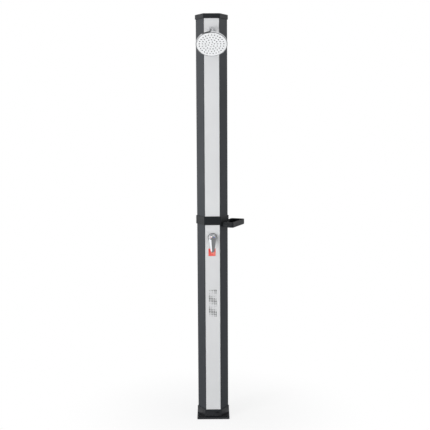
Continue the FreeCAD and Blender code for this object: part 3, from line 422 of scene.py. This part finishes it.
# ---- Seals -------------------------------------------------------------------------------------
# Black EPDM rings and washers, matt, with a trace of talc from the press.
rubber = finish("epdm_rubber", (0.018, 0.018, 0.018), 0.75, fine=1100.0, cloud=40.0, tone=0.25,
                sheen=0.08, bump=0.15, depth=0.0001)
dress(rubber, "coupler_seals", "union_seals", "inlet_washer", "mixer_gasket", "outlet_gasket",
      "drain_seal", "face_seal", "flow_washer")

# ---- Brass fittings ----------------------------------------------------------------------------
# Turned and milled brass, bare inside the tank. The tool leaves fine rings, and the colour
# has gone slightly brown in patches.
brass = finish("turned_brass", (0.66, 0.47, 0.20), 0.30, metallic=1.0, fine=1600.0, cloud=45.0,
               tone=0.14, sheen=0.10, bump=0.12, depth=0.00008, wear_highlight=0.5,
               wear_highlight_colour=(0.80, 0.62, 0.34), wear_highlight_width=0.0005)
dress(brass, "inlet_fitting", "inlet_nut", "inlet_tee", "mixer_body", "outlet_bush", "outlet_nut")

# ---- Cartridge and ball seat -------------------------------------------------------------------
# White acetal: the mixer's ceramic cartridge, its turning guide and the ring that the
# shower head's ball turns in.
acetal = finish("white_acetal", (0.74, 0.74, 0.70), 0.34, fine=900.0, cloud=30.0, tone=0.03, sheen=0.05,
                bump=0.05, depth=0.0001)
dress(acetal, "mixer_cartridge", "cartridge_guide", "ball_seat")

# ---- Chrome: dome, lever, rosette, arm and swivel nut ------------------------------------------
# Polished brass and zinc, nickel and chrome plated. Water leaves faint dried marks on it.
chrome = finish("chrome_plate", (0.64, 0.65, 0.67), 0.06, metallic=1.0, fine=260.0, cloud=35.0,
                tone=0.02, sheen=0.035, bump=0.01, depth=0.00005)
dress(chrome, "mixer_dome", "lever", "outlet_rosette", "head_arm", "ball_nut")

# ---- Dark ring under the mixer's dome: painted shadow ------------------------------------------
# Black rubber ring around the foot of the dome, put there as a painted shadow: it draws the
# shade of the gap round the lever's cap as a thin dark line over the cap.
shadow_ring_outer_r = 0.0246
shadow_ring_inner_r = 0.0202
shadow_ring_depth = 0.0025
shadow_ring_lip = 0.0007
shadow_ring_steps = 96
dome_low, dome_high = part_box("mixer_dome")
shadow_ring_middle = (dome_low + dome_high) / 2
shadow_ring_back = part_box("lower_panel")[0].y
shadow_ring_outline = [(shadow_ring_inner_r, 0.0), (shadow_ring_outer_r, 0.0), (shadow_ring_outer_r, shadow_ring_depth - shadow_ring_lip),
             (shadow_ring_outer_r - shadow_ring_lip, shadow_ring_depth), (shadow_ring_inner_r + shadow_ring_lip, shadow_ring_depth),
             (shadow_ring_inner_r, shadow_ring_depth - shadow_ring_lip)]
corners = len(shadow_ring_outline)
shadow_ring_points = []
for step in range(shadow_ring_steps):
    angle = 2 * math.pi * step / shadow_ring_steps
    for radius, reach in shadow_ring_outline:
        shadow_ring_points.append((shadow_ring_middle.x + radius * math.sin(angle), shadow_ring_back - reach,
                            shadow_ring_middle.z + radius * math.cos(angle)))
shadow_ring_faces = []
for step in range(shadow_ring_steps):
    here, there = corners * step, corners * ((step + 1) % shadow_ring_steps)
    for side in range(corners):
        after = (side + 1) % corners
        shadow_ring_faces.append((here + side, there + side, there + after, here + after))
shadow_ring_mesh = bpy.data.meshes.new("dome_shadow_ring")
shadow_ring_mesh.from_pydata(shadow_ring_points, [], shadow_ring_faces)
shadow_ring_mesh.shade_smooth()
shadow_ring_mesh.materials.append(rubber)
dome_shadow_ring = bpy.data.objects.new("dome_shadow_ring", shadow_ring_mesh)
bpy.context.scene.collection.objects.link(dome_shadow_ring)
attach(dome_shadow_ring, "post")

# ---- Lever's colour marks ----------------------------------------------------------------------
# Small enamelled discs set into the lever's cap: red for hot, blue for cold.
hot = finish("hot_enamel", (0.62, 0.02, 0.02), 0.18, fine=500.0, cloud=200.0, tone=0.05, sheen=0.04,
             bump=0.02, coat=0.5)
cold = finish("cold_enamel", (0.02, 0.08, 0.52), 0.18, fine=500.0, cloud=200.0, tone=0.05, sheen=0.04,
              bump=0.02, coat=0.5)
dress(hot, "hot_mark")
dress(cold, "cold_mark")

# ---- Red sticker -------------------------------------------------------------------------------
# Glossy red film with a printed face, stuck on the lower panel under the lever. Its edges
# have bleached a little.
film = finish("red_film", (0.74, 0.055, 0.045), 0.30, fine=900.0, cloud=60.0, tone=0.04, sheen=0.05,
              bump=0.03, coat=0.3, wear_highlight=0.5, wear_highlight_colour=(0.85, 0.30, 0.28), wear_highlight_width=0.0008)
dress(film, "red_patch")

# ---- Shower head -------------------------------------------------------------------------------
# A chromed ABS shell around a pale satin face plate with 64 soft dark spray tips in rings.
# A rubber seal sits between shell and plate, and the silicone tips stand in the plate's holes.
shell = finish("chromed_abs", (0.68, 0.69, 0.71), 0.09, metallic=1.0, fine=260.0, cloud=25.0, tone=0.02,
               sheen=0.03, bump=0.015, depth=0.00005)
face = finish("pale_face", (0.80, 0.81, 0.82), 0.30, fine=1200.0, cloud=20.0, tone=0.02, sheen=0.04,
              bump=0.05, depth=0.00005)
tips = finish("grey_silicone", (0.022, 0.023, 0.025), 0.60, fine=900.0, cloud=60.0, tone=0.10,
              sheen=0.06, bump=0.06, depth=0.0001)
dress(shell, "head_shell")
dress(face, "face_plate")
dress(tips, "spray_tips")

# ---- Print on the lower panel and on the sticker -----------------------------------------------
# Screen-printed ink: plain fields of dots that grow and shrink in a wave, grey on the panel
# and pale on the red film. Geometry Nodes lay the dots out, and each ends as a flat mesh.
print_film = 0.00004
dot_corners = 20
dot_mean = 0.62
dot_swing = 0.32
wave_across = 55.0
wave_up = 95.0
ink = finish("grey_ink", (0.07, 0.073, 0.076), 0.55, fine=1500.0, cloud=90.0, tone=0.18,
             sheen=0.06, bump=0.04)
pale_ink = finish("pale_ink", (0.80, 0.52, 0.40), 0.45, fine=1500.0, cloud=90.0, tone=0.10,
                  sheen=0.06, bump=0.04)


def layout_group(name, inputs):
    """Geometry Nodes group with named inputs, given as (name, kind)."""
    group = bpy.data.node_groups.new(name, "GeometryNodeTree")
    for label, kind in [("Geometry", "Geometry")] + inputs:
        group.interface.new_socket(label, in_out="INPUT", socket_type="NodeSocket" + kind)
    group.interface.new_socket("Geometry", in_out="OUTPUT", socket_type="NodeSocketGeometry")
    return group, put(group, "NodeGroupInput"), put(group, "NodeGroupOutput")


def set_down(group, group_in, group_out, points, shape, material_input):
    """Instances of a shape on points, made real, in the material that an input names."""
    laid = put(group, "GeometryNodeInstanceOnPoints")
    group.links.new(points, laid.inputs["Points"])
    wire_up(group, shape, "Mesh", laid, "Instance")
    real = put(group, "GeometryNodeRealizeInstances")
    wire_up(group, laid, "Instances", real, 0)
    coated = put(group, "GeometryNodeSetMaterial")
    wire_up(group, real, 0, coated, "Geometry")
    wire_up(group, group_in, material_input, coated, "Material")
    wire_up(group, coated, 0, group_out, 0)
    return laid


dots, dots_in, dots_out = layout_group("dot_field", [
    ("Columns", "Int"), ("Rows", "Int"), ("Pitch", "Float"), ("Dot Radius", "Float"),
    ("Ink", "Material")])
field = put(dots, "GeometryNodeMeshGrid")
wire_up(dots, dots_in, "Columns", field, "Vertices X")
wire_up(dots, dots_in, "Rows", field, "Vertices Y")
for count, size in (("Columns", "Size X"), ("Rows", "Size Y")):
    gaps = chain(dots, "SUBTRACT", dots_in.outputs[count], 1.0)
    dots.links.new(chain(dots, "MULTIPLY", gaps, dots_in.outputs["Pitch"]), field.inputs[size])
dot = put(dots, "GeometryNodeMeshCircle", Vertices=dot_corners)
dot.fill_type = "NGON"
wire_up(dots, dots_in, "Dot Radius", dot, "Radius")
spot = put(dots, "GeometryNodeInputPosition")
spot_split = put(dots, "ShaderNodeSeparateXYZ")
wire_up(dots, spot, "Position", spot_split, 0)
spread = chain(dots, "ADD", chain(dots, "MULTIPLY", spot_split.outputs["X"], wave_across),
               chain(dots, "MULTIPLY", spot_split.outputs["Y"], wave_up))
swell = chain(dots, "ADD", chain(dots, "MULTIPLY", chain(dots, "SINE", spread), dot_swing), dot_mean)
laid_dots = set_down(dots, dots_in, dots_out, field.outputs["Mesh"], dot, "Ink")
dots.links.new(swell, laid_dots.inputs["Scale"])


def laid_out(name, group, values):
    """Plain mesh that a Geometry Nodes group makes from its named inputs."""
    layer = bpy.data.objects.new(name, bpy.data.meshes.new(name))
    bpy.context.scene.collection.objects.link(layer)
    layout = layer.modifiers.new("layout", "NODES")
    layout.node_group = group
    for label, value in values.items():
        layout[group.interface.items_tree[label].identifier] = value
    evaluated = layer.evaluated_get(bpy.context.evaluated_depsgraph_get())
    mesh = bpy.data.meshes.new_from_object(evaluated)
    layer.modifiers.remove(layout)
    bpy.data.objects.remove(layer)
    return mesh


def print_on(name, node, centre, columns, rows, pitch, dot_r, colour):
    """Field of printed dots on the front of a CAD piece, with its centre at (x, z)."""
    mesh = laid_out(name, dots, {"Columns": columns, "Rows": rows, "Pitch": pitch,
                                 "Dot Radius": dot_r, "Ink": colour})
    mesh.transform(Matrix.Translation((centre[0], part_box(node)[0].y - print_film, centre[1]))
                   @ Matrix.Rotation(math.radians(90.0), 4, "X"))
    made = bpy.data.objects.new(name, mesh)
    bpy.context.scene.collection.objects.link(made)
    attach(made, "post")


print_on("panel_print", "lower_panel", centre=(-0.0005, 0.643), columns=5, rows=17,
         pitch=0.0088, dot_r=0.0038, colour=ink)
sticker_print_up = 0.0105
patch_low, patch_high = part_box("red_patch")
print_on("sticker_print", "red_patch",
         centre=((patch_low.x + patch_high.x) / 2, patch_low.z + sticker_print_up), columns=9, rows=4,
         pitch=0.0042, dot_r=0.0016, colour=pale_ink)

# ---- Collars of the spray tips -----------------------------------------------------------------
# Each silicone tip has a low dark collar around its root, on the face plate. Geometry Nodes
# place them on every ring's spots, turned a quarter step as the tips are.
collar_r = 0.0030
collar_height = 0.0005
collar_taper = 0.8
collar_corners = 24
collar_rings = ((0.0, 1), (0.0155, 6), (0.031, 13), (0.0465, 19), (0.062, 25))
ring_start = 0.25
head_lean = math.radians(47.0)
plate_half = 0.00175
ring_inputs = [("Collar Radius", "Float"), ("Collar Height", "Float"), ("Rubber", "Material")]
for index in range(len(collar_rings)):
    ring_inputs += [(f"Radius {index}", "Float"), (f"Count {index}", "Int")]
rings, rings_in, rings_out = layout_group("collar_rings", ring_inputs)
spots = put(rings, "GeometryNodeJoinGeometry")
for index in range(len(collar_rings)):
    circle = put(rings, "GeometryNodeMeshLine", Offset=(0.0, 0.0, 0.0))
    wire_up(rings, rings_in, f"Count {index}", circle, "Count")
    number = put(rings, "GeometryNodeInputIndex")
    step = chain(rings, "ADD", number.outputs[0], ring_start)
    share = chain(rings, "DIVIDE", step, rings_in.outputs[f"Count {index}"])
    angle = chain(rings, "MULTIPLY", share, 2 * math.pi)
    place = put(rings, "ShaderNodeCombineXYZ")
    for axis, wave in enumerate(("COSINE", "SINE")):
        reach = chain(rings, "MULTIPLY", chain(rings, wave, angle), rings_in.outputs[f"Radius {index}"])
        rings.links.new(reach, place.inputs[axis])
    moved = put(rings, "GeometryNodeSetPosition")
    wire_up(rings, circle, "Mesh", moved, "Geometry")
    wire_up(rings, place, "Vector", moved, "Position")
    wire_up(rings, moved, 0, spots, 0)
collar = put(rings, "GeometryNodeMeshCone", Vertices=collar_corners)
tapered = chain(rings, "MULTIPLY", rings_in.outputs["Collar Radius"], collar_taper)
rings.links.new(tapered, collar.inputs["Radius Top"])
wire_up(rings, rings_in, "Collar Radius", collar, "Radius Bottom")
wire_up(rings, rings_in, "Collar Height", collar, "Depth")
set_down(rings, rings_in, rings_out, spots.outputs[0], collar, "Rubber")

values = {"Collar Radius": collar_r, "Collar Height": collar_height, "Rubber": tips}
for index, (ring_r, count) in enumerate(collar_rings):
    values[f"Radius {index}"] = ring_r
    values[f"Count {index}"] = count
collars = laid_out("spray_collars", rings, values)
spray_axis = Vector((0.0, -math.cos(head_lean), -math.sin(head_lean)))
face_side = Vector((1.0, 0.0, 0.0))
face_up = spray_axis.cross(face_side)
plate_low, plate_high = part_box("face_plate")
face_middle = (plate_low + plate_high) / 2 + spray_axis * plate_half
collars.transform(Matrix.Translation(face_middle)
                  @ Matrix((face_side, face_up, spray_axis)).transposed().to_4x4())
spray_collars = bpy.data.objects.new("spray_collars", collars)
bpy.context.scene.collection.objects.link(spray_collars)
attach(spray_collars, "shower_head")
